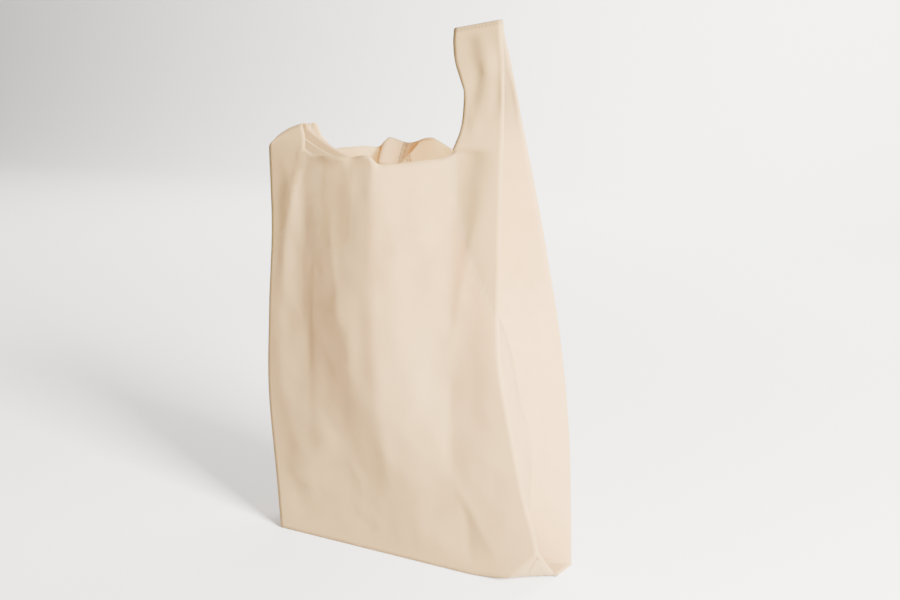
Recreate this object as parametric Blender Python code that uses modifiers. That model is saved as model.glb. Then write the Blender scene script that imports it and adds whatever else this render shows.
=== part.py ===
"""A vest carrier bag: a side-gusseted tube of non-woven fabric with a base seal and two loop handles.

The blank is a flat grid. Its columns run round the tube and its rows run from the base seal to the
handle tops. The mouth is cut from it, every point is folded to its place, the tube and both seals are
closed, and Solidify gives the fabric its thickness. The right handle stands up. The left handle is
folded over the mouth and hangs inside, close behind the front panel.
"""

import math

import bmesh
import bpy

# Driving dimensions of the flat bag, in metres
PANEL_WIDTH = 0.280  # front and back panels, fold to fold
GUSSET_DEPTH = 0.060  # each side folds in by this much
HANDLE_LENGTH = 0.114  # from the mouth cut to the handle's seal
HANDLE_WIDTH = 0.045  # at the seal
HANDLE_WAIST = 0.038  # the narrowest place, halfway up
CORNER_RADIUS = 0.018  # where the mouth turns up into a handle
FABRIC = 0.0005
LAYER_GAP = 0.0018  # outer face to outer face of two layers that lie together

# The opened bag
BASE_FRONT = 0.034  # from the base seal to the front bottom edge
BASE_BACK = 0.030
MOUTH_HEIGHT = 0.366
TOP_HEIGHT = MOUTH_HEIGHT + HANDLE_LENGTH
CORNER_LIFT = 0.022  # the front right corner of the base stands clear of the ground
LIFT_START = 0.055  # where along the front edge that lift begins
LIFT_END = 0.138
LIFT_FADE = 0.25  # the lift fades out over this share of the body's height

# Columns and rows of the blank
STRIP_COLUMNS = 4
MOUTH_COLUMNS = 8
FOLD_COLUMNS = 2
BASE_ROWS = 2
BODY_ROWS = 11
HANDLE_ROWS = 12
RAISED_SHARE = 0.22  # the top share of the body whose rows follow the mouth's corners

# Where the four vertical folds stand at each height: height, x, y
FRONT_RIGHT = (
    (0.000, 0.1380, -0.0340), (0.050, 0.1330, -0.0370), (0.130, 0.1215, -0.0450),
    (0.200, 0.1100, -0.0490), (0.285, 0.1056, -0.0430), (0.345, 0.1020, -0.0340),
    (0.400, 0.0970, -0.0220), (0.440, 0.0905, -0.0110), (0.472, 0.0840, -0.0030),
    (0.480, 0.0830, -0.0030),
)
BACK_RIGHT = (
    (0.000, 0.1430, 0.0300), (0.050, 0.1400, 0.0330), (0.130, 0.1340, 0.0370),
    (0.200, 0.1260, 0.0360), (0.285, 0.1130, 0.0300), (0.345, 0.1030, 0.0240),
    (0.400, 0.0940, 0.0160), (0.440, 0.0880, 0.0090), (0.472, 0.0840, 0.0030),
    (0.480, 0.0830, 0.0030),
)
FRONT_LEFT = (
    (0.000, -0.1400, -0.0340), (0.050, -0.1420, -0.0360), (0.150, -0.1455, -0.0400),
    (0.220, -0.1420, -0.0400), (0.300, -0.1380, -0.0380), (0.366, -0.1405, -0.0350),
    (0.480, -0.1405, -0.0350),
)
BACK_LEFT = (
    (0.000, -0.1400, 0.0300), (0.050, -0.1410, 0.0320), (0.150, -0.1440, 0.0300),
    (0.220, -0.1420, 0.0230), (0.300, -0.1390, 0.0040), (0.366, -0.1405, -0.0105),
    (0.480, -0.1405, -0.0105),
)
# How far each side is still folded in: height, depth
RIGHT_TUCK = (
    (0.000, 0.0560), (0.040, 0.0300), (0.100, 0.0150), (0.170, 0.0140), (0.222, 0.0240),
    (0.250, 0.0420), (0.285, 0.0530), (0.340, 0.0570), (0.480, 0.0600),
)
LEFT_TUCK = (
    (0.000, 0.0560), (0.040, 0.0280), (0.120, 0.0140), (0.220, 0.0140), (0.290, 0.0240),
    (0.345, 0.0380), (0.366, 0.0400), (0.480, 0.0400),
)
# The bow of each panel between its folds, outwards: height, distance
FRONT_BOW = ((0.000, 0.000), (0.100, 0.008), (0.230, 0.010), (0.366, 0.008), (0.480, 0.000))
BACK_BOW = ((0.000, 0.000), (0.100, 0.010), (0.230, 0.012), (0.366, 0.006), (0.480, 0.000))

# The left handle, folded over: it rises, turns over towards the middle and comes down inside
TURN_HEIGHT = 0.3835  # where the turn starts
TURN_RADIUS = 0.0057
TURN_ROWS = (1, 5)  # the rows between which it turns
FLOP_END = 0.283
# Its way down: share of the way, x shift, height
FLOP_PATH = (
    (0.00, 0.000, 0.3835), (0.14, 0.009, 0.3800), (0.28, 0.028, 0.3735), (0.42, 0.050, 0.3670),
    (0.57, 0.061, 0.3500), (0.78, 0.065, 0.3180), (1.00, 0.066, 0.2870),
)
END_TAPER = 0.26  # the hanging end is curled a little narrower
CAP = 0.002  # the last row of an outer layer closes over this height
INNER_DROP = 0.004  # the inner layers close this much below the outer ones
TUCK_RISE = 0.006  # how far the inner end of a gusset's foot stands clear of the base
COLOUR = (0.80, 0.69, 0.55, 1.0)


def smooth(t):
    t = min(max(t, 0.0), 1.0)
    return t * t * (3.0 - 2.0 * t)


def along(table, at, item=1):
    """The value of one column of a table at a height, on a smooth curve through its rows."""
    last = len(table) - 1
    at = min(max(at, table[0][0]), table[last][0])
    i = 0
    while i < last - 1 and at > table[i + 1][0]:
        i += 1
    x0, x1 = table[i][0], table[i + 1][0]
    y0, y1 = table[i][item], table[i + 1][item]
    rise = (y1 - y0) / (x1 - x0)
    before = rise if i == 0 else (y0 - table[i - 1][item]) / (x0 - table[i - 1][0])
    after = rise if i == last - 1 else (table[i + 2][item] - y1) / (table[i + 2][0] - x1)
    start = 0.5 * (before + rise) if before * rise > 0 else 0.0
    end = 0.5 * (after + rise) if after * rise > 0 else 0.0
    t = (at - x0) / (x1 - x0)
    span = x1 - x0
    return (
        (2 * t**3 - 3 * t**2 + 1) * y0 + (t**3 - 2 * t**2 + t) * span * start
        + (3 * t**2 - 2 * t**3) * y1 + (t**3 - t**2) * span * end
    )


def strip_width(share):
    """The handle's width at a share of its length above the mouth."""
    if share < 0.5:
        root = JUNCTION_WIDTH
        return root + (HANDLE_WAIST - root) * smooth(share / 0.5)
    return HANDLE_WAIST + (HANDLE_WIDTH - HANDLE_WAIST) * smooth((share - 0.5) / 0.5)


# The mouth's corner is a quarter round. A handle's columns begin halfway round it.
HALF_TURN = math.radians(45.0)
JUNCTION_WIDTH = 0.040 + CORNER_RADIUS * (1.0 - math.sin(HALF_TURN))
JUNCTION_RISE = CORNER_RADIUS * (1.0 - math.cos(HALF_TURN))
FLAT_START = 0.040 + CORNER_RADIUS  # depth from a fold at which the mouth's edge is level

QUARTER = STRIP_COLUMNS + FOLD_COLUMNS
PANEL_COLUMNS = 2 * STRIP_COLUMNS + MOUTH_COLUMNS
# One turn: front panel, edge, right gusset, edge, back panel, edge, left gusset, edge
SIDES = (
    ("front", PANEL_COLUMNS), ("edge_front_right", 1), ("right_front", QUARTER),
    ("right_back", QUARTER), ("edge_back_right", 1), ("back", PANEL_COLUMNS),
    ("edge_back_left", 1), ("left_back", QUARTER), ("left_front", QUARTER),
    ("edge_front_left", 1),
)
COLUMNS = sum(count for _, count in SIDES)
ROWS = BASE_ROWS + BODY_ROWS + HANDLE_ROWS
MOUTH_ROW = BASE_ROWS + BODY_ROWS


def side_of(column):
    """The side that a column of points belongs to, and its place on it."""
    start = 0
    for name, count in SIDES:
        if column < start + count:
            return name, column - start
        start += count
    return SIDES[0][0], 0


def panel_depth(place):
    """How far a panel's column lies from the panel's nearer fold, on the flat bag."""
    near = min(place, PANEL_COLUMNS - place)
    if near <= STRIP_COLUMNS:
        return JUNCTION_WIDTH * near / STRIP_COLUMNS
    inner = PANEL_WIDTH / 2 - JUNCTION_WIDTH
    return JUNCTION_WIDTH + inner * (near - STRIP_COLUMNS) / (MOUTH_COLUMNS / 2)


def gusset_depth(place):
    if place <= STRIP_COLUMNS:
        return JUNCTION_WIDTH * place / STRIP_COLUMNS
    inner = GUSSET_DEPTH - JUNCTION_WIDTH
    return JUNCTION_WIDTH + inner * (place - STRIP_COLUMNS) / FOLD_COLUMNS


def mouth_rise(depth):
    """How far the cut stands above the mouth line at this depth from a fold."""
    if depth >= FLAT_START:
        return 0.0
    across = min(FLAT_START - depth, CORNER_RADIUS * math.sin(HALF_TURN))
    return CORNER_RADIUS - math.sqrt(CORNER_RADIUS**2 - across**2)


def fold_point(table, height):
    return along(table, height, 1), along(table, height, 2)


FRONT_TABLES = {True: FRONT_RIGHT, False: FRONT_LEFT}
BACK_TABLES = {True: BACK_RIGHT, False: BACK_LEFT}


def tuck_point(right, height):
    """The inner fold of a side at a height."""
    front = fold_point(FRONT_RIGHT if right else FRONT_LEFT, height)
    back = fold_point(BACK_RIGHT if right else BACK_LEFT, height)
    depth = along(RIGHT_TUCK if right else LEFT_TUCK, height)
    middle = 0.5 * (front[0] + back[0])
    return middle - depth if right else middle + depth, 0.5 * (front[1] + back[1])


def panel_xy(front, depth, right_half, height, strip):
    """Where a panel's point stands: on the line between its folds, bowed outwards."""
    left = fold_point(FRONT_LEFT if front else BACK_LEFT, height)
    right = fold_point(FRONT_RIGHT if front else BACK_RIGHT, height)
    if strip:
        # A handle's strip keeps its own width, so it's measured from its own fold
        if right_half:
            share = 1.0 - depth / (right[0] - left[0])
        else:
            share = depth / (right[0] - left[0])
    else:
        share = depth / PANEL_WIDTH
        share = 1.0 - share if right_half else share
    bow = along(FRONT_BOW if front else BACK_BOW, height) * 4 * share * (1 - share)
    x = left[0] + (right[0] - left[0]) * share
    y = left[1] + (right[1] - left[1]) * share
    return x, y - bow if front else y + bow


def gusset_xy(right, front, share, height):
    """Where a gusset's point stands, share 0 at its outer fold and 1 at its inner fold."""
    if right:
        corner = fold_point(FRONT_RIGHT if front else BACK_RIGHT, height)
    else:
        corner = fold_point(FRONT_LEFT if front else BACK_LEFT, height)
    inner = tuck_point(right, height)
    start_y = corner[1] + (LAYER_GAP if front else -LAYER_GAP)
    return corner[0] + (inner[0] - corner[0]) * share, start_y + (inner[1] - start_y) * share


def corner_lift(x):
    return CORNER_LIFT * smooth((x - LIFT_START) / (LIFT_END - LIFT_START))


def base_point(side, place, share):
    """The folded base: the panels meet at the seal, and the gussets' ends lie flat on them."""
    front = side in ("front", "right_front", "left_front")
    reach = (BASE_FRONT if front else BASE_BACK) * share
    if side in ("front", "back"):
        depth = panel_depth(place)
        right = (place > PANEL_COLUMNS / 2) == front
        own, _ = panel_xy(front, depth, right, 0.0, False)
        other, _ = panel_xy(not front, depth, right, 0.0, False)
        x = own + 0.5 * (other - own) * (1.0 - share)
        z = corner_lift(x) * share * share if front else 0.0
        return x, -reach if front else reach, z
    right = side.startswith("right")
    inward = gusset_depth(place if side in ("right_front", "left_back") else QUARTER - place)
    inward /= GUSSET_DEPTH
    own, _ = gusset_xy(right, front, inward, 0.0)
    other, _ = gusset_xy(right, not front, inward, 0.0)
    x = own + 0.5 * (other - own) * (1.0 - share)
    reach = (reach - LAYER_GAP * share) * (1.0 - inward)
    z = LAYER_GAP + inward * TUCK_RISE
    if front and right:
        z += corner_lift(x) * share * share * (1.0 - inward)
    return x, -reach if front else reach, z


def handle_height(row, foot, panel):
    """The height of a row of the standing handle: its last row closes over the layers."""
    top = TOP_HEIGHT if panel else TOP_HEIGHT - INNER_DROP
    rows = row - MOUTH_ROW
    if rows == HANDLE_ROWS:
        return top
    return foot + (top - CAP - foot) * rows / (HANDLE_ROWS - 1)


def flopped(x, y, row, foot, front, panel):
    """A point of the left handle, which is folded over and hangs inside the mouth."""
    rows = row - MOUTH_ROW
    start, end = TURN_ROWS
    if rows <= start:
        return x, y, foot + (TURN_HEIGHT - foot) * rows / start
    # The turn: outer faces keep the larger radius, and after it they lie together in the middle
    radius = TURN_RADIUS if panel else TURN_RADIUS - LAYER_GAP
    angle = math.pi * min((rows - start) / (end - start), 1.0)
    side = 1.0 if front else -1.0
    y += side * radius * (1.0 - math.cos(angle))
    z = TURN_HEIGHT + radius * math.sin(angle)
    if rows <= end:
        return x, y, z
    share = (rows - end) / (HANDLE_ROWS - 1 - end)
    if rows == HANDLE_ROWS:
        middle = along(FRONT_LEFT, MOUTH_HEIGHT, 2) + along(BACK_LEFT, MOUTH_HEIGHT, 2)
        z = FLOP_END + (INNER_DROP if panel else 0.0)
        return x + FLOP_PATH[-1][1], 0.5 * middle, z
    z = along(FLOP_PATH, share, 2)
    z -= (CAP if not panel else -CAP) * smooth((share - 0.8) / 0.2)
    return x + along(FLOP_PATH, share, 1), y, z


def folded(column, row):
    """Where a point of the blank stands in the folded and opened bag."""
    side, place = side_of(column)
    if side.startswith("edge"):
        # The narrow edge between two layers starts on the last column of the side before it
        side, place = SIDES[[name for name, _ in SIDES].index(side) - 1]
    if row <= BASE_ROWS:
        return base_point(side, place, row / BASE_ROWS)
    panel = side in ("front", "back")
    front = side in ("front", "right_front", "left_front")
    if panel:
        right = (place > PANEL_COLUMNS / 2) == front
        depth = panel_depth(place)
    else:
        right = side.startswith("right")
        depth = gusset_depth(place if side in ("right_front", "left_back") else QUARTER - place)
    if row <= MOUTH_ROW:
        return body_point(panel, front, right, depth, row)
    return handle_point(panel, front, right, depth, row)


def body_point(panel, front, right, depth, row):
    share = (row - BASE_ROWS) / BODY_ROWS
    height = MOUTH_HEIGHT * share
    height += mouth_rise(depth) * smooth((share - (1 - RAISED_SHARE)) / RAISED_SHARE)
    if not panel:
        inward = depth / GUSSET_DEPTH
        x, y = gusset_xy(right, front, inward, height)
        if front and right:
            height += corner_lift(x) * (1.0 - inward) * (1.0 - smooth(share / LIFT_FADE))
        return x, y, height
    x, y = panel_xy(front, depth, right, height, False)
    if depth < JUNCTION_WIDTH * 1.001:
        # Near the mouth the strips that become handles keep their full width
        own = panel_xy(front, depth, right, height, True)
        blend = smooth((share - 0.75) / 0.25)
        x, y = x + (own[0] - x) * blend, y + (own[1] - y) * blend
    if front and right:
        height += corner_lift(x) * (1.0 - smooth(share / LIFT_FADE))
    return x, y, height


def handle_point(panel, front, right, depth, row):
    share = (row - MOUTH_ROW) / HANDLE_ROWS
    foot = MOUTH_HEIGHT + JUNCTION_RISE
    depth = strip_width(share) * min(depth / JUNCTION_WIDTH, 1.0)
    height = handle_height(row, foot, panel) if right else foot
    if panel:
        x, y = panel_xy(front, depth, right, height, True)
        layer = 0.0
    else:
        x, y = gusset_xy(right, front, depth / GUSSET_DEPTH, height)
        layer = LAYER_GAP if front else -LAYER_GAP
    # Going up, the layers draw level with the handle's outer folds
    table = FRONT_TABLES[right] if front else BACK_TABLES[right]
    level = along(table, height, 2) + layer
    y += (level - y) * smooth(share / (0.5 if right else 0.08))
    if right and row == ROWS:
        # Front and back close on each other across the handle's top
        return along(FRONT_RIGHT, TOP_HEIGHT, 1) - depth, 0.0, height
    if right:
        return x, y, height
    curl = 1.0 - END_TAPER * smooth((share - 0.75) / 0.25) ** 2
    middle = along(FRONT_LEFT, height, 1) + HANDLE_WIDTH / 2
    return flopped(middle + (x - middle) * curl, y, row, foot, front, panel)


def in_mouth(column, row):
    """Whether the blank's cell between this column and row and the next is cut away."""
    if row < MOUTH_ROW:
        return False
    side, place = side_of(column)
    if side in ("front", "back"):
        return STRIP_COLUMNS <= place < PANEL_COLUMNS - STRIP_COLUMNS
    if side in ("right_front", "left_back"):
        return place >= STRIP_COLUMNS
    if side in ("right_back", "left_front"):
        return place < QUARTER - STRIP_COLUMNS
    return False


def make_blank():
    """The flat sheet, one unit a cell, with the mouth cut out of it."""
    mesh = bmesh.new()
    bmesh.ops.create_grid(mesh, x_segments=COLUMNS, y_segments=ROWS, size=0.5)
    bmesh.ops.scale(mesh, vec=(COLUMNS, ROWS, 1.0), verts=mesh.verts)
    bmesh.ops.translate(mesh, vec=(COLUMNS / 2, ROWS / 2, 0.0), verts=mesh.verts)
    cut = []
    for face in mesh.faces:
        middle = face.calc_center_median()
        if in_mouth(int(middle.x), int(middle.y)):
            cut.append(face)
    bmesh.ops.delete(mesh, geom=cut, context="FACES")
    return mesh


def fold_blank(mesh):
    """Folds the sheet into the bag and joins it down the tube, along the base and at the handles."""
    for vert in mesh.verts:
        column, row = round(vert.co.x), round(vert.co.y)
        vert.co = folded(column % COLUMNS, row)
    bmesh.ops.remove_doubles(mesh, verts=mesh.verts, dist=0.00002)
    bmesh.ops.recalc_face_normals(mesh, faces=mesh.faces)


def fabric_material():
    material = bpy.data.materials.new("cream_fabric")
    material.use_nodes = True
    shader = material.node_tree.nodes["Principled BSDF"]
    shader.inputs["Base Color"].default_value = COLOUR
    shader.inputs["Roughness"].default_value = 0.85
    shader.inputs["Metallic"].default_value = 0.0
    material.diffuse_color = COLOUR
    return material


def make_bag(collection):
    blank = make_blank()
    fold_blank(blank)
    mesh = bpy.data.meshes.new("carrier_bag")
    blank.to_mesh(mesh)
    blank.free()
    mesh.materials.append(fabric_material())
    bag = bpy.data.objects.new("carrier_bag", mesh)
    collection.objects.link(bag)
    wall = bag.modifiers.new("fabric", "SOLIDIFY")
    wall.thickness = FABRIC
    wall.offset = -1.0
    return bag


for thing in list(bpy.data.objects):
    bpy.data.objects.remove(thing, do_unlink=True)
parts = bpy.data.collections.new("vest_carrier_bag")
bpy.context.scene.collection.children.link(parts)
make_bag(parts)
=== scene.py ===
import math

import bmesh
import bpy
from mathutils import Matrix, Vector, noise


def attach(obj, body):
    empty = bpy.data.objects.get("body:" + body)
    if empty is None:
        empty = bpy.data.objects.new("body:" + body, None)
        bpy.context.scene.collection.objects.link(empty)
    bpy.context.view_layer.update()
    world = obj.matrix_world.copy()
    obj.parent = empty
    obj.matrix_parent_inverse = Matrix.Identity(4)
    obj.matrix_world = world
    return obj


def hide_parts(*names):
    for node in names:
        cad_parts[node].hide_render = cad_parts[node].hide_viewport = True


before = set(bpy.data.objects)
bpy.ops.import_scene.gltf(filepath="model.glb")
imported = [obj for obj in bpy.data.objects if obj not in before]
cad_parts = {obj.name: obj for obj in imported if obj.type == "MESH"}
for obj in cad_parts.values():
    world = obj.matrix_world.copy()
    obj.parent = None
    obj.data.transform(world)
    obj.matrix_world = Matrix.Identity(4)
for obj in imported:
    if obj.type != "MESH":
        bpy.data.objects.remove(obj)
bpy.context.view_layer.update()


# Vest carrier bag in cream non-woven fabric, standing open, left handle folded inside.
# Metres. Front panel towards -Y, handles up.

bagSize = dict(
    panelWidth=0.280,
    gussetDepth=0.060,
    handleLength=0.114,
    handleWidth=0.045,
    rootWidth=0.040,
    cornerRadius=0.018,
    cornerTurn=math.radians(45.0),
    fabric=0.00035,
    layerGap=0.0013,
    mouthHeight=0.366,
    baseFront=0.034,
    baseBack=0.030,
    tuckRise=0.006,
    innerDrop=0.002,
    closeHeight=0.0012,
)

bagLift = dict(
    startX=0.113, across=0.750, ahead=0.660, slope=1.32, rounding=0.0014, fade=0.25,
    edgeStart=0.074, edgeSlope=0.115,
)

# The handle's width: share of its length, width
handleWidths = (
    (0.00, 0.0453), (0.06, 0.0424), (0.16, 0.0388), (0.43, 0.0384), (0.56, 0.0420), (0.72, 0.0466),
    (0.87, 0.0474), (1.00, 0.0450),
)
sealTilt = 0.0058  # the standing handle's seal is lower at its inner end

blankGrid = dict(strip=11, mouth=48, fold=6, base=8, body=88, handle=44)

# Shares of the panel's height from which the handles' own shape takes over, up to its top
bodyBlend = dict(riseFrom=0.78, riseSpan=0.22, ownFrom=0.75, ownSpan=0.25, ownDepth=0.14)

# Where the folds stand: height, x, y
foldLines = dict(
    frontRight=(
        (0.000, 0.1405, -0.0340), (0.050, 0.1345, -0.0370), (0.130, 0.1215, -0.0450),
        (0.200, 0.1100, -0.0490), (0.285, 0.1056, -0.0430), (0.345, 0.1020, -0.0340),
        (0.400, 0.0970, -0.0220), (0.440, 0.0905, -0.0110), (0.472, 0.0840, -0.0020),
        (0.480, 0.0830, -0.0018),
    ),
    backRight=(
        (0.000, 0.1430, 0.0300), (0.050, 0.1400, 0.0330), (0.130, 0.1340, 0.0370),
        (0.200, 0.1260, 0.0360), (0.285, 0.1130, 0.0300), (0.345, 0.1030, 0.0240),
        (0.400, 0.0940, 0.0160), (0.440, 0.0880, 0.0090), (0.472, 0.0840, 0.0020),
        (0.480, 0.0830, 0.0018),
    ),
    frontLeft=(
        (0.000, -0.1400, -0.0340), (0.050, -0.1420, -0.0360), (0.150, -0.1455, -0.0400),
        (0.220, -0.1420, -0.0400), (0.300, -0.1375, -0.0380), (0.366, -0.1405, -0.0350),
        (0.480, -0.1405, -0.0350),
    ),
    backLeft=(
        (0.000, -0.1400, 0.0300), (0.050, -0.1410, 0.0320), (0.150, -0.1440, 0.0300),
        (0.220, -0.1420, 0.0230), (0.300, -0.1385, 0.0040), (0.366, -0.1405, -0.0105),
        (0.480, -0.1405, -0.0105),
    ),
)

# How deep each gusset is still folded in: height, depth
tuckDepth = dict(
    right=(
        (0.000, 0.0560), (0.040, 0.0300), (0.100, 0.0150), (0.170, 0.0140), (0.222, 0.0240),
        (0.250, 0.0420), (0.285, 0.0530), (0.340, 0.0570), (0.480, 0.0600),
    ),
    left=(
        (0.000, 0.0560), (0.040, 0.0280), (0.120, 0.0140), (0.220, 0.0140), (0.290, 0.0240),
        (0.345, 0.0380), (0.366, 0.0400), (0.480, 0.0400),
    ),
)

panelBow = dict(
    front=((0.000, 0.000), (0.100, 0.008), (0.230, 0.010), (0.366, 0.008), (0.480, 0.000)),
    back=((0.000, 0.000), (0.100, 0.010), (0.230, 0.012), (0.366, 0.006), (0.480, 0.000)),
)

# The folded-over left handle: share of its way down, x shift, height, y shift
flopWay = dict(
    turnHeight=0.3835,
    turnRadius=0.0057,
    turnRows=(5, 18),
    tilt=(
        (-0.10, -0.0125), (0.00, -0.0122), (0.15, -0.0072), (0.30, -0.0038), (0.50, 0.0000),
        (1.00, 0.0055),
    ),
    tiltFade=0.45,
    shoulder=0.006,
    shoulderFade=0.25,
    end=0.2830,
    path=(
        (0.00, 0.000, 0.3835, 0.000), (0.14, 0.008, 0.3775, 0.000), (0.28, 0.024, 0.3690, -0.001),
        (0.42, 0.048, 0.3600, -0.004), (0.57, 0.061, 0.3500, -0.008), (0.78, 0.065, 0.3180, -0.012),
        (1.00, 0.066, 0.2870, -0.0125),
    ),
    curl=0.24,
)

# The mouth's edge: x, height above the cut line, curl outwards
mouthEdge = dict(
    front=(
        (-0.150, 0.0000, 0.0000), (-0.095, 0.0008, 0.0000), (-0.078, -0.0006, 0.0010),
        (-0.062, -0.0010, 0.0045), (-0.046, -0.0014, 0.0040), (-0.036, -0.0008, 0.0008),
        (-0.020, 0.0012, 0.0030), (-0.014, -0.0010, 0.0024), (-0.010, -0.0056, 0.0004),
        (0.002, -0.0059, 0.0000), (0.022, -0.0036, 0.0000), (0.050, -0.0002, 0.0000),
        (0.150, 0.0000, 0.0000),
    ),
    back=(
        (-0.150, 0.0000, 0.0000), (-0.085, 0.0040, 0.0000), (-0.060, 0.0060, 0.0010),
        (-0.046, 0.0062, 0.0010), (-0.037, 0.0142, 0.0000), (-0.020, 0.0095, 0.0020),
        (0.004, 0.0142, 0.0010), (0.018, 0.0085, 0.0000), (0.030, 0.0030, 0.0000),
        (0.052, 0.0016, 0.0000), (0.150, 0.0000, 0.0000),
    ),
    curlHeight=0.012,
    riseFrom=0.30,
    sideFade=0.012,
)

# The part of the back edge that is folded over to the inside: x, height of its free edge
foldedEdge = dict(
    start=-0.048, end=0.010, above=0.36, steps=6,
    roll=0.0022, crown=0.0006, lean=0.0110, endFade=0.006, endLean=0.2, endDrop=0.15, dropFrom=0.08,
    free=(
        (-0.060, 0.3600), (-0.045, 0.3570), (-0.024, 0.3560), (-0.010, 0.3660), (0.005, 0.3790),
        (0.020, 0.3790),
    ),
)

# Painted shade, where the front panel's tone is deeper for the layers behind it and the shade on it, and on
# the handles. The edge of each zone: height, x
paintedShadeZones = dict(
    # painted shade where the gussets lie folded in behind the panel
    right=((0.230, 0.110), (0.245, 0.101), (0.270, 0.087), (0.300, 0.073), (0.330, 0.062), (0.366, 0.055)),
    left=(
        (0.255, -0.142), (0.275, -0.132), (0.300, -0.118), (0.330, -0.106), (0.367, -0.094),
        (0.400, -0.086),
    ),
    rightFrom=0.225, leftFrom=0.250, fromFade=0.02, rightSoft=0.006, leftSoft=0.003,
    # painted shadow of the handle that hangs inside: its two sides, its end and the radius of its corners
    tongue=(-0.0715, -0.0350, 0.2840, 0.0160), tongueSoft=0.003, tongueTone=0.3,
    # the left of the ridge, where less light comes through from inside
    shaded=((0.000, 0.060), (0.120, 0.020), (0.200, -0.006), (0.366, -0.014)),
    shadedSoft=0.006, shadedSpread=0.05, spreadTop=0.30, spreadSpan=0.15, shadedTone=0.7,
    # painted shade, darker towards the base
    lowTop=0.30, lowSpan=0.24, lowTone=0.85,
    # painted shade on the handles' layers, deepening over the first part of their length
    handleTone=0.7, handleShare=0.625,
)

# Creases: side, start x z, end x z, half width, height outwards, 0 soft, 1 sharp, 2 two facets
creases = (
    ("front", (-0.014, 0.450), (0.002, 0.040), 0.066, 0.0110, 2),
    ("front", (0.066, 0.420), (0.062, 0.100), 0.026, -0.0040, 0),
    ("front", (-0.094, 0.390), (-0.118, 0.280), 0.003, 0.0014, 1),
    ("front", (0.060, 0.190), (0.061, 0.090), 0.007, -0.0016, 1),
    ("front", (0.060, 0.190), (0.086, 0.335), 0.010, 0.0014, 1),
    ("front", (0.072, 0.070), (0.075, 0.000), 0.008, -0.0018, 1),
    ("front", (-0.105, 0.360), (-0.128, 0.215), 0.012, 0.0020, 0),
    ("front", (-0.118, 0.345), (-0.122, 0.250), 0.006, 0.0010, 1),
    ("front", (-0.100, 0.340), (-0.108, 0.120), 0.016, -0.0012, 0),
    ("front", (-0.064, 0.330), (-0.040, 0.200), 0.005, 0.0007, 1),
    ("front", (-0.085, 0.300), (-0.090, 0.150), 0.005, -0.0007, 1),
    ("front", (-0.050, 0.260), (-0.020, 0.110), 0.020, 0.0024, 0),
    ("front", (0.030, 0.300), (0.050, 0.150), 0.018, -0.0020, 0),
    ("front", (-0.120, 0.050), (-0.060, 0.120), 0.020, 0.0018, 0),
    ("front", (0.100, 0.020), (0.060, 0.100), 0.010, 0.0016, 1),
    ("back", (0.020, 0.360), (0.000, 0.080), 0.032, 0.0045, 0),
    ("back", (0.048, 0.385), (0.018, 0.235), 0.008, 0.0022, 1),
    ("back", (0.052, 0.372), (-0.030, 0.290), 0.009, 0.0018, 1),
    ("back", (-0.070, 0.370), (-0.030, 0.230), 0.009, -0.0020, 1),
    ("back", (-0.100, 0.210), (-0.030, 0.150), 0.010, 0.0020, 1),
    ("back", (0.110, 0.060), (0.030, 0.150), 0.010, 0.0020, 1),
    ("back", (-0.120, 0.030), (-0.060, 0.110), 0.010, 0.0016, 1),
    ("back", (-0.080, 0.330), (-0.060, 0.120), 0.020, -0.0030, 0),
    ("back", (0.080, 0.320), (0.090, 0.120), 0.016, 0.0026, 0),
    ("back", (-0.020, 0.060), (0.060, 0.110), 0.014, 0.0018, 1),
    ("handle", (0.0570, 0.500), (0.0620, 0.385), 0.0120, -0.0012, 0),
    ("handle", (0.0560, 0.486), (0.0800, 0.428), 0.0090, 0.0020, 2),
    ("handle", (0.0680, 0.450), (0.0640, 0.378), 0.0080, -0.0014, 2),
    ("handle", (0.0600, 0.415), (0.0790, 0.376), 0.0080, 0.0018, 1),
    ("handle", (0.0840, 0.462), (0.0890, 0.395), 0.0060, -0.0018, 1),
    ("gussetRight", (-0.034, 0.350), (0.006, 0.210), 0.008, 0.0018, 1),
    ("gussetRight", (0.018, 0.340), (-0.012, 0.110), 0.014, -0.0024, 0),
    ("gussetRight", (-0.022, 0.170), (0.024, 0.030), 0.008, 0.0016, 1),
    ("gussetRight", (0.020, 0.260), (0.012, 0.120), 0.006, 0.0010, 1),
    ("gussetLeft", (-0.028, 0.310), (0.008, 0.180), 0.010, 0.0020, 1),
    ("gussetLeft", (0.014, 0.190), (-0.020, 0.050), 0.012, -0.0022, 0),
)

cameraPlace = dict(
    location=(0.5367, -0.8471, 0.4220),
    turn=(79.42, 0.0, 30.74),
    lens=44.98,
    sensor=36.0,
)


def smooth(t):
    t = min(max(t, 0.0), 1.0)
    return t * t * (3.0 - 2.0 * t)


def along(table, at, item=1):
    # value at a height on a smooth curve through the rows, with no overshoot
    last = len(table) - 1
    at = min(max(at, table[0][0]), table[last][0])
    i = 0
    while i < last - 1 and at > table[i + 1][0]:
        i += 1
    x0, x1 = table[i][0], table[i + 1][0]
    y0, y1 = table[i][item], table[i + 1][item]
    rise = (y1 - y0) / (x1 - x0)
    before = rise if i == 0 else (y0 - table[i - 1][item]) / (x0 - table[i - 1][0])
    after = rise if i == last - 1 else (table[i + 2][item] - y1) / (table[i + 2][0] - x1)
    start = 0.5 * (before + rise) if before * rise > 0 else 0.0
    end = 0.5 * (after + rise) if after * rise > 0 else 0.0
    t = (at - x0) / (x1 - x0)
    span = x1 - x0
    return (
        (2 * t**3 - 3 * t**2 + 1) * y0 + (t**3 - 2 * t**2 + t) * span * start
        + (3 * t**2 - 2 * t**3) * y1 + (t**3 - t**2) * span * end
    )


junctionWidth = bagSize["rootWidth"] + bagSize["cornerRadius"] * (1 - math.sin(bagSize["cornerTurn"]))
junctionRise = bagSize["cornerRadius"] * (1 - math.cos(bagSize["cornerTurn"]))
levelStart = bagSize["rootWidth"] + bagSize["cornerRadius"]
topHeight = bagSize["mouthHeight"] + bagSize["handleLength"]

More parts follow.
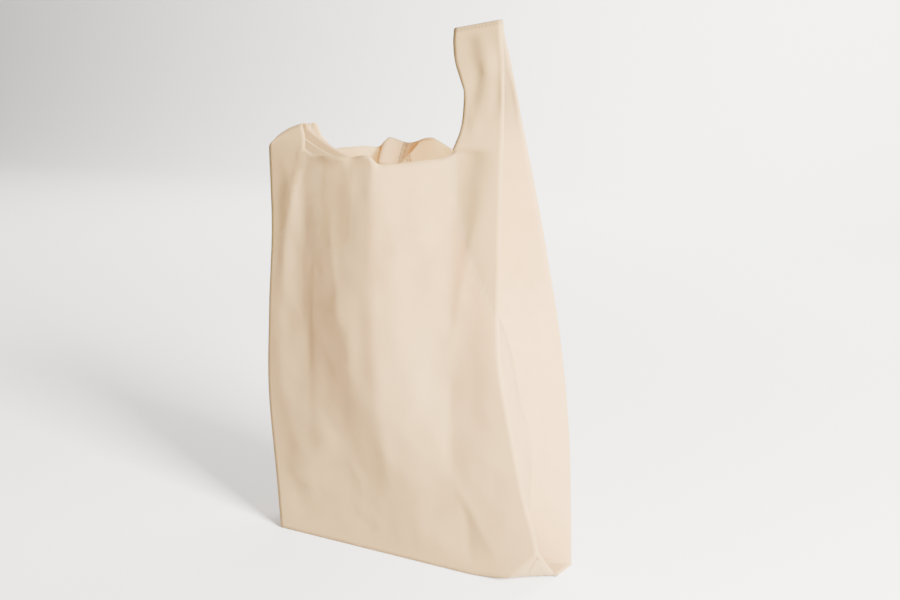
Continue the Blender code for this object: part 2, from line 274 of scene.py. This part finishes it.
quarter = blankGrid["strip"] + blankGrid["fold"]
panelColumns = 2 * blankGrid["strip"] + blankGrid["mouth"]
sides = (
    ("front", panelColumns), ("edge", 1), ("rightFront", quarter), ("rightBack", quarter),
    ("edge", 1), ("back", panelColumns), ("edge", 1), ("leftBack", quarter),
    ("leftFront", quarter), ("edge", 1),
)
columnSides = []
for sideName, sideCount in sides:
    for sidePlace in range(sideCount):
        columnSides.append((sideName, sidePlace))
columns = len(columnSides)
rows = blankGrid["base"] + blankGrid["body"] + blankGrid["handle"]
mouthRow = blankGrid["base"] + blankGrid["body"]
isFront = dict(front=True, rightFront=True, leftFront=True, back=False, rightBack=False, leftBack=False)


def panelDepth(place):
    near = min(place, panelColumns - place)
    if near <= blankGrid["strip"]:
        return junctionWidth * near / blankGrid["strip"]
    inner = bagSize["panelWidth"] / 2 - junctionWidth
    return junctionWidth + inner * (near - blankGrid["strip"]) / (blankGrid["mouth"] / 2)


def gussetDepthAt(place):
    if place <= blankGrid["strip"]:
        return junctionWidth * place / blankGrid["strip"]
    inner = bagSize["gussetDepth"] - junctionWidth
    return junctionWidth + inner * (place - blankGrid["strip"]) / blankGrid["fold"]


def mouthRise(depth):
    if depth >= levelStart:
        return 0.0
    radius = bagSize["cornerRadius"]
    across = min(levelStart - depth, radius * math.sin(bagSize["cornerTurn"]))
    return radius - math.sqrt(radius**2 - across**2)


def foldName(front, right):
    return ("front" if front else "back") + ("Right" if right else "Left")


def foldPoint(front, right, height):
    line = foldLines[foldName(front, right)]
    return along(line, height, 1), along(line, height, 2)


def panelXy(front, depth, right, height, strip):
    left, far = foldPoint(front, False, height), foldPoint(front, True, height)
    share = depth / (far[0] - left[0]) if strip else depth / bagSize["panelWidth"]
    share = 1.0 - share if right else share
    bow = along(panelBow["front" if front else "back"], height) * 4 * share * (1 - share)
    x = left[0] + (far[0] - left[0]) * share
    y = left[1] + (far[1] - left[1]) * share
    return x, y - bow if front else y + bow


def gussetXy(right, front, share, height):
    corner = foldPoint(front, right, height)
    other = foldPoint(not front, right, height)
    depth = along(tuckDepth["right" if right else "left"], height)
    middle = 0.5 * (corner[0] + other[0])
    inner = middle - depth if right else middle + depth, 0.5 * (corner[1] + other[1])
    gap = bagSize["layerGap"]
    startY = corner[1] + (gap if front else -gap)
    return corner[0] + (inner[0] - corner[0]) * share, startY + (inner[1] - startY) * share


def cornerLift(x, y):
    # the corner is bent up about a line across the base, from its front edge to its right end
    lift = bagLift
    beyond = (x - lift["startX"]) * lift["across"] - (y + bagSize["baseFront"]) * lift["ahead"]
    edge = max(x - lift["edgeStart"], 0.0) * lift["edgeSlope"] * min(max(-y / bagSize["baseFront"], 0.0), 1.0)
    return edge + lift["slope"] * 0.5 * (beyond + math.sqrt(beyond**2 + lift["rounding"] ** 2))


def basePoint(side, place, share):
    # panels meet at the seal under the bag, the gussets' feet lie flat on them
    front = isFront[side]
    reach = (bagSize["baseFront"] if front else bagSize["baseBack"]) * share
    if side in ("front", "back"):
        depth = panelDepth(place)
        right = (place > panelColumns / 2) == front
        own = panelXy(front, depth, right, 0.0, False)[0]
        other = panelXy(not front, depth, right, 0.0, False)[0]
        x = own + 0.5 * (other - own) * (1.0 - share)
        z = cornerLift(x, -reach) if front else 0.0
        return x, -reach if front else reach, z
    right = side.startswith("right")
    inward = gussetDepthAt(place if side in ("rightFront", "leftBack") else quarter - place)
    inward /= bagSize["gussetDepth"]
    own = gussetXy(right, front, inward, 0.0)[0]
    other = gussetXy(right, not front, inward, 0.0)[0]
    x = own + 0.5 * (other - own) * (1.0 - share)
    reach = (reach - bagSize["layerGap"] * share) * (1.0 - inward)
    z = bagSize["layerGap"] + inward * bagSize["tuckRise"]
    if front and right:
        z += cornerLift(x, -reach) * (1.0 - inward)
    return x, -reach if front else reach, z


def bodyPoint(panel, front, right, depth, row):
    share = (row - blankGrid["base"]) / blankGrid["body"]
    height = bagSize["mouthHeight"] * share
    height += mouthRise(depth) * smooth((share - bodyBlend["riseFrom"]) / bodyBlend["riseSpan"])
    lifted = (1.0 - smooth(share / bagLift["fade"])) if front and right else 0.0
    if not panel:
        inward = depth / bagSize["gussetDepth"]
        x, y = gussetXy(right, front, inward, height)
        foot = (bagSize["baseFront"] - bagSize["layerGap"]) * (1.0 - inward)
        return x, y, height + cornerLift(x, -foot) * (1.0 - inward) * lifted
    x, y = panelXy(front, depth, right, height, False)
    own = panelXy(front, depth, right, height, True)
    reach = bodyBlend["ownDepth"]
    blend = smooth((share - bodyBlend["ownFrom"]) / bodyBlend["ownSpan"])
    blend *= smooth((reach - depth) / (reach - junctionWidth))
    x, y = x + (own[0] - x) * blend, y + (own[1] - y) * blend
    return x, y, height + cornerLift(x, -bagSize["baseFront"]) * lifted


def floppedPoint(x, y, row, foot, front, panel):
    # rises, turns over inwards, then runs down to the right and hangs behind the front panel
    step = row - mouthRow
    start, end = flopWay["turnRows"]
    across = (x - along(foldLines["frontLeft"], foot, 1)) / bagSize["handleWidth"]
    tilt = along(flopWay["tilt"], across)
    turnHeight = flopWay["turnHeight"] + tilt
    if step <= start:
        return x, y, foot + (turnHeight - foot) * step / start
    radius = flopWay["turnRadius"] - (0.0 if panel else bagSize["layerGap"])
    angle = math.pi * min((step - start) / (end - start), 1.0)
    fade = 1.0 - smooth((step - end) / (blankGrid["handle"] * flopWay["shoulderFade"]))
    x += flopWay["shoulder"] * (1.0 - min(across, 1.0)) ** 2 * math.sin(angle / 2) * fade
    y += (1.0 if front else -1.0) * radius * (1.0 - math.cos(angle))
    if step <= end:
        return x, y, turnHeight + radius * math.sin(angle)
    count = blankGrid["handle"]
    share = (step - end) / (count - 1 - end)
    path = flopWay["path"]
    if step == count:
        middle = along(foldLines["frontLeft"], foot, 2) + along(foldLines["backLeft"], foot, 2)
        z = flopWay["end"] + (bagSize["innerDrop"] if panel else 0.0)
        return x + path[-1][1], 0.5 * middle + path[-1][3], z
    z = along(path, share, 2) + tilt * (1.0 - smooth(share / flopWay["tiltFade"]))
    close = bagSize["closeHeight"] * smooth((share - 0.8) / 0.2)
    z += close if panel else -close
    return x + along(path, share, 1), y + along(path, share, 3), z


def handlePoint(panel, front, right, depth, row):
    share = (row - mouthRow) / blankGrid["handle"]
    foot = bagSize["mouthHeight"] + junctionRise
    depth = along(handleWidths, share) * min(depth / junctionWidth, 1.0)
    height = foot
    if right:
        top = topHeight - (0.0 if panel else bagSize["innerDrop"])
        stepShare = (row - mouthRow) / (blankGrid["handle"] - 1)
        height = top if row == rows else foot + (top - bagSize["closeHeight"] - foot) * stepShare
    layer = 0.0
    if panel:
        x, y = panelXy(front, depth, right, height, True)
    else:
        x, y = gussetXy(right, front, depth / bagSize["gussetDepth"], height)
        layer = bagSize["layerGap"] if front else -bagSize["layerGap"]
    level = along(foldLines[foldName(front, right)], height, 2) + layer
    y += (level - y) * smooth(share / (0.5 if right else 0.08))
    if right:
        if row == rows:
            x, y = along(foldLines["frontRight"], topHeight, 1) - depth, 0.0
        return x, y, height - sealTilt * depth / bagSize["handleWidth"] * smooth((share - 0.4) / 0.6)
    curl = 1.0 - flopWay["curl"] * smooth((share - 0.75) / 0.25) ** 2
    middle = along(foldLines["frontLeft"], height, 1) + bagSize["handleWidth"] / 2
    return floppedPoint(middle + (x - middle) * curl, y, row, foot, front, panel)


def sideAt(column):
    side, place = columnSides[column % columns]
    if side == "edge":
        # the narrow edge between two layers starts on the last column of the side before it
        side, place = columnSides[(column - 1) % columns]
        place += 1
    return side, place


def foldedPoint(column, row):
    side, place = sideAt(column)
    if row <= blankGrid["base"]:
        return basePoint(side, place, row / blankGrid["base"])
    panel = side in ("front", "back")
    if panel:
        right = (place > panelColumns / 2) == isFront[side]
        depth = panelDepth(place)
    else:
        right = side.startswith("right")
        depth = gussetDepthAt(place if side in ("rightFront", "leftBack") else quarter - place)
    place = bodyPoint if row <= mouthRow else handlePoint
    return place(panel, isFront[side], right, depth, row)


def paintedShadeAt(side, row, x, z):
    # how much shade is painted into the cloth's colour here, for the layers behind it and the shade on it, 0
    # to 1
    zones = paintedShadeZones
    if side != "front":
        return zones["handleTone"] * smooth((row - mouthRow) / blankGrid["handle"] / zones["handleShare"])
    if row > mouthRow:
        return 1.0
    right = smooth((x - along(zones["right"], z)) / zones["rightSoft"] + 0.5)
    right *= smooth((z - zones["rightFrom"]) / zones["fromFade"])
    left = smooth((along(zones["left"], z) - x) / zones["leftSoft"] + 0.5)
    left *= smooth((z - zones["leftFrom"]) / zones["fromFade"])
    start, stop, end, radius = zones["tongue"]
    beside = max(start + radius - x, x - stop + radius, 0.0)
    below = max(end + radius - z, 0.0)
    tongue = 1.0 - smooth((math.hypot(beside, below) - radius) / zones["tongueSoft"] + 0.5)
    spread = smooth((zones["spreadTop"] - z) / zones["spreadSpan"])
    soft = zones["shadedSoft"] + zones["shadedSpread"] * spread
    shaded = smooth((along(zones["shaded"], z) - x) / soft + 0.5)
    low = smooth((zones["lowTop"] - z) / zones["lowSpan"])
    inner = zones["shadedTone"] * shaded + zones["tongueTone"] * tongue
    return max(right, left, inner, zones["lowTone"] * low)


creaseForm = dict(
    reach=3.0, sharpness=1.6, facetReach=1.04, facetLean=0.78, facetRounding=0.0016,
    startFade=0.2, endFade=0.25,
)


def creaseShift(side, x, z):
    form = creaseForm
    total = 0.0
    for name, start, end, width, height, sharp in creases:
        if name != side:
            continue
        dx, dz = end[0] - start[0], end[1] - start[1]
        t = ((x - start[0]) * dx + (z - start[1]) * dz) / (dx * dx + dz * dz)
        held = min(max(t, 0.0), 1.0)
        away = math.hypot(x - start[0] - dx * held, z - start[1] - dz * held) / width
        if away > form["reach"]:
            continue
        shape = math.exp(-form["sharpness"] * away) if sharp else math.exp(-away * away)
        if sharp == 2:
            # two flat facets that meet in a slightly rounded ridge
            away *= form["facetLean"] if x < start[0] + dx * held else 1.0
            shape = max(form["facetReach"] - math.sqrt(away * away + form["facetRounding"]), 0.0)
        total += height * shape * smooth(held / form["startFade"]) * smooth((1.0 - held) / form["endFade"])
    return total


clothSlack = dict(
    lowFade=0.03, panelFade=0.030, gussetFade=0.02,
    wave=0.0030, ripple=0.0006, frontCrumple=0.0013, backCrumple=0.0034,
    gussetWave=0.0016, gussetCrumple=0.0022,
    handleFrom=0.375, handleFade=0.03, sealAway=0.009, sealFade=0.008,
)


def shaped(column, row, point):
    # the listed creases and the slack of thin cloth, on top of the folded shape
    x, y, z = point
    side, place = sideAt(column)
    if row <= blankGrid["base"]:
        return x, y, z
    if row > mouthRow:
        standing = column != 0 and (side.startswith("right") or x > 0.0)
        return (x, y + handleShift(x, z), z) if standing else (x, y, z)
    front = isFront[side]
    slack = clothSlack
    lowFade = smooth(z / slack["lowFade"])
    wave = noise.noise(Vector((x * 14.0, z * 9.0, 3.0 if front else 7.0)))
    if side in ("front", "back"):
        outwards = -1.0 if front else 1.0
        ripple = noise.noise(Vector((x * 55.0, z * 30.0, 11.0 if front else 17.0)))
        web = noise.noise(Vector((x * 26.0 + z * 9.0, z * 20.0, 23.0 if front else 29.0)))
        depth = panelDepth(place)
        shift = creaseShift(side, x, z) + slack["wave"] * wave + slack["ripple"] * ripple
        shift += slack["frontCrumple" if front else "backCrumple"] * (0.3 - abs(web))
        y += outwards * shift * smooth(depth / slack["panelFade"]) * lowFade
        rise, curl = mouthShift(side, depth, x, z)
        return x, y + outwards * curl, z + rise
    depth = gussetDepthAt(place if side in ("rightFront", "leftBack") else quarter - place)
    right = side.startswith("right")
    web = noise.noise(Vector((y * 24.0 + 5.0, z * 16.0, 41.0 if right else 47.0)))
    shift = slack["gussetWave"] * wave + slack["gussetCrumple"] * (0.25 - abs(web))
    shift += creaseShift("gussetRight" if right else "gussetLeft", y, z)
    x += shift * smooth(depth / slack["gussetFade"]) * lowFade * (1.0 if right else -1.0)
    return x, y, z


def mouthShift(side, depth, x, z):
    # how far the cut edge rises and curls outwards here
    if depth <= junctionWidth:
        return 0.0, 0.0
    curlHeight, riseFrom = mouthEdge["curlHeight"], mouthEdge["riseFrom"]
    near = smooth((depth - junctionWidth) / mouthEdge["sideFade"])
    edge = smooth((z - bagSize["mouthHeight"] + curlHeight) / curlHeight)
    rise = smooth((z - riseFrom) / (bagSize["mouthHeight"] - riseFrom))
    return along(mouthEdge[side], x, 1) * rise * near, along(mouthEdge[side], x, 2) * edge * edge * near


def handleShift(x, z):
    slack = clothSlack
    fade = smooth((z - slack["handleFrom"]) / slack["handleFade"])
    fade *= smooth((topHeight - slack["sealAway"] - z) / slack["sealFade"])
    return -creaseShift("handle", x, z) * fade


def inMouth(column, row):
    if row < mouthRow:
        return False
    side, place = columnSides[column]
    strip = blankGrid["strip"]
    if side in ("front", "back"):
        return strip <= place < panelColumns - strip
    if side in ("rightFront", "leftBack"):
        return place >= strip
    if side in ("rightBack", "leftFront"):
        return place < quarter - strip
    return False


def flatTables():
    # how far along the cut sheet each column and row lies
    across = [0.0]
    for side, place in columnSides:
        if side == "edge":
            across.append(across[-1] + bagSize["layerGap"])
        elif side in ("front", "back"):
            across.append(across[-1] + abs(flatPanel(place + 1) - flatPanel(place)))
        else:
            before = place if side in ("rightFront", "leftBack") else quarter - place
            after = place + 1 if side in ("rightFront", "leftBack") else quarter - place - 1
            across.append(across[-1] + abs(gussetDepthAt(after) - gussetDepthAt(before)))
    up = [0.0]
    for row in range(rows):
        if row < blankGrid["base"]:
            up.append(up[-1] + bagSize["baseFront"] / blankGrid["base"])
        elif row < mouthRow:
            up.append(up[-1] + bagSize["mouthHeight"] / blankGrid["body"])
        else:
            up.append(up[-1] + bagSize["handleLength"] / blankGrid["handle"])
    return across, up


def flatPanel(place):
    depth = panelDepth(place)
    return depth if place <= panelColumns / 2 else bagSize["panelWidth"] - depth


def makeBlank(across, up):
    mesh = bmesh.new()
    bmesh.ops.create_grid(mesh, x_segments=columns, y_segments=rows, size=0.5)
    bmesh.ops.scale(mesh, vec=(columns, rows, 1.0), verts=mesh.verts)
    bmesh.ops.translate(mesh, vec=(columns / 2, rows / 2, 0.0), verts=mesh.verts)
    columnLayer = mesh.verts.layers.int.new("column")
    rowLayer = mesh.verts.layers.int.new("row")
    for vert in mesh.verts:
        vert[columnLayer] = round(vert.co.x) % columns
        vert[rowLayer] = round(vert.co.y)
    cut = []
    for face in mesh.faces:
        middle = face.calc_center_median()
        if inMouth(int(middle.x), int(middle.y)):
            cut.append(face)
    bmesh.ops.delete(mesh, geom=cut, context="FACES")
    flat = mesh.loops.layers.uv.new("flat")
    for face in mesh.faces:
        face.smooth = True
        for corner in face.loops:
            place = corner.vert.co
            corner[flat].uv = (across[round(place.x)], up[round(place.y)])
    return mesh


def foldBlank(mesh):
    # painted shade, 0 to 1, kept on each point for the cloth's colour
    paintedShade = mesh.verts.layers.float.new("paintedShade")
    columnLayer = mesh.verts.layers.int["column"]
    rowLayer = mesh.verts.layers.int["row"]
    for vert in mesh.verts:
        column, row = vert[columnLayer], vert[rowLayer]
        point = foldedPoint(column, row)
        vert.co = shaped(column, row, point)
        vert[paintedShade] = paintedShadeAt(sideAt(column)[0], row, point[0], point[2])
    bmesh.ops.remove_doubles(mesh, verts=mesh.verts, dist=0.0001)


def newRim(made):
    # the free edges of a strip that was just extruded
    edges = [item for item in made if isinstance(item, bmesh.types.BMEdge) and len(item.link_faces) == 1]
    return [edge for edge in edges if all(vert in made for vert in edge.verts)]


def foldBackEdge(mesh):
    # the back panel's cut edge is turned over to the inside for part of its length
    columnLayer = mesh.verts.layers.int["column"]
    flat = mesh.loops.layers.uv["flat"]
    edges = []
    for edge in mesh.edges:
        if len(edge.link_faces) != 1:
            continue
        onBack = all(sideAt(vert[columnLayer])[0] == "back" for vert in edge.verts)
        inside = all(foldedEdge["start"] < vert.co.x < foldedEdge["end"] for vert in edge.verts)
        high = all(vert.co.z > foldedEdge["above"] for vert in edge.verts)
        if onBack and inside and high:
            edges.append(edge)
    tops = {}
    for step in range(1, foldedEdge["steps"] + 1):
        share = step / foldedEdge["steps"]
        made = bmesh.ops.extrude_edge_only(mesh, edges=edges)["geom"]
        edges = newRim(made)
        for vert in [item for item in made if isinstance(item, bmesh.types.BMVert)]:
            key = vert[columnLayer]
            if key not in tops:
                tops[key] = vert.co.copy()
            top = tops[key]
            turn = min(share * 3.0, 1.0)
            fall = max((share - foldedEdge["dropFrom"]) / (1.0 - foldedEdge["dropFrom"]), 0.0)
            drop = (top.z - along(foldedEdge["free"], top.x)) * fall
            ends = smooth((top.x - foldedEdge["start"]) / foldedEdge["endFade"])
            ends *= smooth((foldedEdge["end"] - top.x) / foldedEdge["endFade"])
            inwards = foldedEdge["roll"] * turn + foldedEdge["lean"] * share * ends
            crown = foldedEdge["crown"] * math.sin(math.pi * turn)
            vert.co.y = top.y - inwards * (foldedEdge["endLean"] + (1.0 - foldedEdge["endLean"]) * ends)
            vert.co.z = top.z + crown - drop * (foldedEdge["endDrop"] + (1.0 - foldedEdge["endDrop"]) * ends)
        for face in [item for item in made if isinstance(item, bmesh.types.BMFace)]:
            face.smooth = True
            for corner in face.loops:
                drop = tops[corner.vert[columnLayer]].z - corner.vert.co.z
                corner[flat].uv.y += drop


def addNode(tree, kind, inputs=(), **settings):
    node = tree.nodes.new(kind)
    for name, value in settings.items():
        setattr(node, name, value)
    for key, value in dict(inputs).items():
        if isinstance(value, bpy.types.NodeSocket):
            tree.links.new(value, node.inputs[key])
        else:
            node.inputs[key].default_value = value
    return node


def mathNode(tree, operation, first, second=0.0, clamp=False):
    node = addNode(tree, "ShaderNodeMath", {0: first, 1: second}, operation=operation, use_clamp=clamp)
    return node.outputs[0]


def mixColour(tree, share, first, second):
    return addNode(tree, "ShaderNodeMix", {0: share, 6: first, 7: second}, data_type="RGBA").outputs[2]


clothLook = dict(
    thick=(0.65, 0.480, 0.235, 1.0),
    thin=(0.74, 0.565, 0.315, 1.0),
    # painted shade: the colour it darkens the cloth towards, and how much
    paintedShade=(0.45, 0.285, 0.105, 1.0),
    paintedShadeShare=0.9,
    glow=(0.83, 0.665, 0.385, 1.0),
    # the light through the cloth, darkened where shade is painted
    shadedGlow=(0.38, 0.225, 0.070, 1.0),
    shadedGlowShare=0.85,
    dots=(0.70, 0.52, 0.34, 1.0),
    dotShare=0.10,
    dotPitch=0.0011,
    dotLimit=0.55,
    cloud=70.0,
    cloudWeight=0.8,
    fibre=1500.0,
    fibreWeight=0.2,
    roughness=0.78,
    passes=0.66,
    passesSpread=0.05,
    # how much less light passes where shade is painted
    paintedShadeStops=0.45,
    bump=0.35,
    bumpDepth=0.0003,
    fibreHeight=0.5,
    dotHeight=0.6,
    cloudHeight=1.2,
)


def fibreWeb(tree):
    # the cloudy web of fibres that makes the cloth thick and thin
    look = clothLook
    place = addNode(tree, "ShaderNodeTexCoord").outputs["Object"]
    clouds = addNode(tree, "ShaderNodeTexNoise", {
        "Vector": place, "Scale": look["cloud"], "Detail": 5.0, "Roughness": 0.65,
    }).outputs["Fac"]
    fibres = addNode(tree, "ShaderNodeTexNoise", {
        "Vector": place, "Scale": look["fibre"], "Detail": 3.0, "Roughness": 0.7, "Distortion": 1.2,
    }).outputs["Fac"]
    cloudPart = mathNode(tree, "MULTIPLY", clouds, look["cloudWeight"])
    fibrePart = mathNode(tree, "MULTIPLY", fibres, look["fibreWeight"])
    return clouds, fibres, mathNode(tree, "ADD", cloudPart, fibrePart)


def bondPoints(tree, sheetX, sheetY):
    # bond points in a staggered pattern over the sheet, with hard and with soft edges
    turn = 2.0 * math.pi / clothLook["dotPitch"]
    acrossWave = mathNode(tree, "SINE", mathNode(tree, "MULTIPLY", sheetX, turn))
    upWave = mathNode(tree, "SINE", mathNode(tree, "MULTIPLY", sheetY, turn))
    both = mathNode(tree, "MULTIPLY", acrossWave, upWave)
    hard = mathNode(tree, "GREATER_THAN", both, clothLook["dotLimit"])
    return hard, mathNode(tree, "MULTIPLY", acrossWave, upWave, clamp=True)


sealLook = dict(
    band=0.0062, base=0.0050, seam=0.0034, bandShare=0.20, weldShare=0.5, weldHeight=1.6,
    rowGap=0.0031, dotGap=0.0034, dotLimit=0.45, colour=(0.20, 0.125, 0.055, 1.0),
)


def heatSeals(tree, sheetX, sheetY, across, up):
    # pressed bands along each handle's end, the base and the back seam, with rows of weld dots
    seal = sealLook
    fromTop = mathNode(tree, "SUBTRACT", up[-1], sheetY)
    backStart = panelColumns + 2 + 2 * quarter
    backMiddle = 0.5 * (across[backStart] + across[backStart + panelColumns])
    fromSeam = mathNode(tree, "ABSOLUTE", mathNode(tree, "SUBTRACT", sheetX, backMiddle))
    topBand = mathNode(tree, "LESS_THAN", fromTop, seal["band"])
    lowBand = mathNode(tree, "LESS_THAN", sheetY, seal["base"])
    seamBand = mathNode(tree, "LESS_THAN", fromSeam, seal["seam"])
    bands = mathNode(tree, "MAXIMUM", mathNode(tree, "MAXIMUM", topBand, lowBand), seamBand)
    rowWave = mathNode(tree, "SINE", mathNode(tree, "MULTIPLY", fromTop, math.pi / seal["rowGap"]))
    rowWave = mathNode(tree, "ABSOLUTE", rowWave)
    dotWave = mathNode(tree, "SINE", mathNode(tree, "MULTIPLY", sheetX, 2.0 * math.pi / seal["dotGap"]))
    weld = mathNode(tree, "GREATER_THAN", mathNode(tree, "MULTIPLY", rowWave, dotWave), seal["dotLimit"])
    weld = mathNode(tree, "MULTIPLY", weld, bands)
    bandPart = mathNode(tree, "MULTIPLY", bands, seal["bandShare"])
    weldPart = mathNode(tree, "MULTIPLY", weld, seal["weldShare"])
    return weld, mathNode(tree, "ADD", bandPart, weldPart)


def clothMaterial(across, up):
    look = clothLook
    material = bpy.data.materials.new("cream_nonwoven")
    material.use_nodes = True
    tree = material.node_tree
    tree.nodes.clear()
    flat = addNode(tree, "ShaderNodeUVMap", uv_map="flat").outputs[0]
    sheetX, sheetY = addNode(tree, "ShaderNodeSeparateXYZ", {0: flat}).outputs[:2]
    clouds, fibres, weight = fibreWeb(tree)
    dots, softDots = bondPoints(tree, sheetX, sheetY)
    weld, pressed = heatSeals(tree, sheetX, sheetY, across, up)

    # painted shade: cloth that lies on further layers, or in shade, is darkened in colour, lets less through
    # and looks fuller
    paintedShade = addNode(tree, "ShaderNodeAttribute", attribute_name="paintedShade").outputs["Fac"]
    tone = mixColour(tree, weight, look["thin"], look["thick"])
    tone = mixColour(tree, mathNode(tree, "MULTIPLY", paintedShade, look["paintedShadeShare"]), tone, look["paintedShade"])
    tone = mixColour(tree, mathNode(tree, "MULTIPLY", dots, look["dotShare"]), tone, look["dots"])
    tone = mixColour(tree, pressed, tone, sealLook["colour"])
    dimming = mathNode(tree, "MULTIPLY", paintedShade, look["shadedGlowShare"])
    glow = mixColour(tree, dimming, look["glow"], look["shadedGlow"])
    glow = mixColour(tree, pressed, glow, sealLook["colour"])

    height = mathNode(tree, "MULTIPLY", fibres, look["fibreHeight"])
    height = mathNode(tree, "SUBTRACT", height, mathNode(tree, "MULTIPLY", softDots, look["dotHeight"]))
    height = mathNode(tree, "ADD", height, mathNode(tree, "MULTIPLY", clouds, look["cloudHeight"]))
    height = mathNode(tree, "SUBTRACT", height, mathNode(tree, "MULTIPLY", weld, sealLook["weldHeight"]))
    bump = addNode(tree, "ShaderNodeBump", {
        "Strength": look["bump"], "Distance": look["bumpDepth"], "Height": height,
    }).outputs[0]
    solid = addNode(tree, "ShaderNodeBsdfPrincipled", {
        "Base Color": tone, "Roughness": look["roughness"], "Specular IOR Level": 0.25, "Normal": bump,
        "Sheen Weight": 0.12, "Sheen Roughness": 0.5,
    }).outputs[0]
    through = addNode(tree, "ShaderNodeBsdfTranslucent", {"Color": glow, "Normal": bump}).outputs[0]
    most, least = look["passes"] + look["passesSpread"], look["passes"] - look["passesSpread"]
    passed = addNode(tree, "ShaderNodeMapRange", {0: weight, 1: 0.3, 2: 0.7, 3: most, 4: least}).outputs[0]
    stopped = mathNode(tree, "MULTIPLY", paintedShade, look["paintedShadeStops"])
    passed = mathNode(tree, "MULTIPLY", passed, mathNode(tree, "SUBTRACT", 1.0, stopped))
    mixed = addNode(tree, "ShaderNodeMixShader", {0: passed, 1: solid, 2: through})
    addNode(tree, "ShaderNodeOutputMaterial", {0: mixed.outputs[0]})
    return material


def makeBag():
    across, up = flatTables()
    blank = makeBlank(across, up)
    foldBlank(blank)
    foldBackEdge(blank)
    bmesh.ops.recalc_face_normals(blank, faces=blank.faces)
    mesh = bpy.data.meshes.new("bag")
    blank.to_mesh(mesh)
    blank.free()
    mesh.materials.append(clothMaterial(across, up))
    bag = bpy.data.objects.new("bag", mesh)
    bpy.context.scene.collection.objects.link(bag)
    wall = bag.modifiers.new("thickness", "SOLIDIFY")
    wall.thickness = bagSize["fabric"]
    wall.offset = -1.0
    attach(bag, "root")
    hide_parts("carrier_bag")


floorLook = dict(
    level=-0.0008, half=10.0, back=4.6, rise=3.4, bend=1.2, bendSteps=12,
    colour=(0.82, 0.815, 0.805, 1.0), roughness=0.9,
)


def makeFloor():
    mesh = bmesh.new()
    bmesh.ops.create_grid(mesh, x_segments=1, y_segments=1, size=1.0)
    bmesh.ops.scale(mesh, vec=(floorLook["half"], floorLook["half"], 1.0), verts=mesh.verts)
    bmesh.ops.translate(mesh, vec=(0.0, 0.0, floorLook["level"]), verts=mesh.verts)
    # the far side sweeps up into a backdrop
    start = floorLook["back"] - floorLook["bend"]
    far = []
    for vert in mesh.verts:
        if vert.co.y > 0:
            vert.co.y = start
            far.append(vert)
    edges = [edge for edge in mesh.edges if all(vert in far for vert in edge.verts)]
    count = floorLook["bendSteps"]
    for step in range(1, count + 2):
        angle = 0.5 * math.pi * min(step / count, 1.0)
        made = bmesh.ops.extrude_edge_only(mesh, edges=edges)["geom"]
        edges = newRim(made)
        for vert in [item for item in made if isinstance(item, bmesh.types.BMVert)]:
            vert.co.y = start + floorLook["bend"] * math.sin(angle)
            vert.co.z = floorLook["level"] + floorLook["bend"] * (1.0 - math.cos(angle))
            if step > count:
                vert.co.z = floorLook["rise"]
    for face in mesh.faces:
        face.smooth = True
    bmesh.ops.recalc_face_normals(mesh, faces=mesh.faces)
    data = bpy.data.meshes.new("floor")
    mesh.to_mesh(data)
    mesh.free()
    material = bpy.data.materials.new("floor_paper")
    material.use_nodes = True
    shader = material.node_tree.nodes["Principled BSDF"]
    shader.inputs["Base Color"].default_value = floorLook["colour"]
    shader.inputs["Roughness"].default_value = floorLook["roughness"]
    data.materials.append(material)
    floor = bpy.data.objects.new("floor", data)
    bpy.context.scene.collection.objects.link(floor)
    print("floor")


# name, place, aim, size, watts
studioLights = (
    ("key", (2.05, -0.85, 1.0), (0.05, 0.0, 0.22), 0.7, 640.0),
    ("behind", (0.6, 1.6, 1.4), (0.0, 0.0, 0.22), 1.0, 60.0),
    ("backdrop", (-0.6, 2.6, 3.0), (-1.6, 4.6, 0.6), 2.5, 600.0),
)
lampColour = (1.0, 0.975, 0.93)
worldLook = dict(strength=0.2, colour=(1.0, 0.99, 0.97, 1.0))


def makeLights():
    for name, place, aim, size, watts in studioLights:
        data = bpy.data.lights.new(name, "AREA")
        data.size = size
        data.energy = watts
        data.color = lampColour
        lamp = bpy.data.objects.new(name, data)
        lamp.location = place
        lamp.rotation_euler = (Vector(aim) - Vector(place)).to_track_quat("-Z", "Y").to_euler()
        bpy.context.scene.collection.objects.link(lamp)
    world = bpy.data.worlds.new("studio")
    world.use_nodes = True
    sky = world.node_tree.nodes["Background"]
    sky.inputs["Color"].default_value = worldLook["colour"]
    sky.inputs["Strength"].default_value = worldLook["strength"]
    bpy.context.scene.world = world
    print("lights")


def makeCamera():
    data = bpy.data.cameras.new("camera")
    data.lens = cameraPlace["lens"]
    data.sensor_width = cameraPlace["sensor"]
    camera = bpy.data.objects.new("camera", data)
    camera.location = cameraPlace["location"]
    camera.rotation_euler = [math.radians(angle) for angle in cameraPlace["turn"]]
    bpy.context.scene.collection.objects.link(camera)
    bpy.context.scene.camera = camera
    print("camera")


makeBag()
makeFloor()
makeLights()
makeCamera()
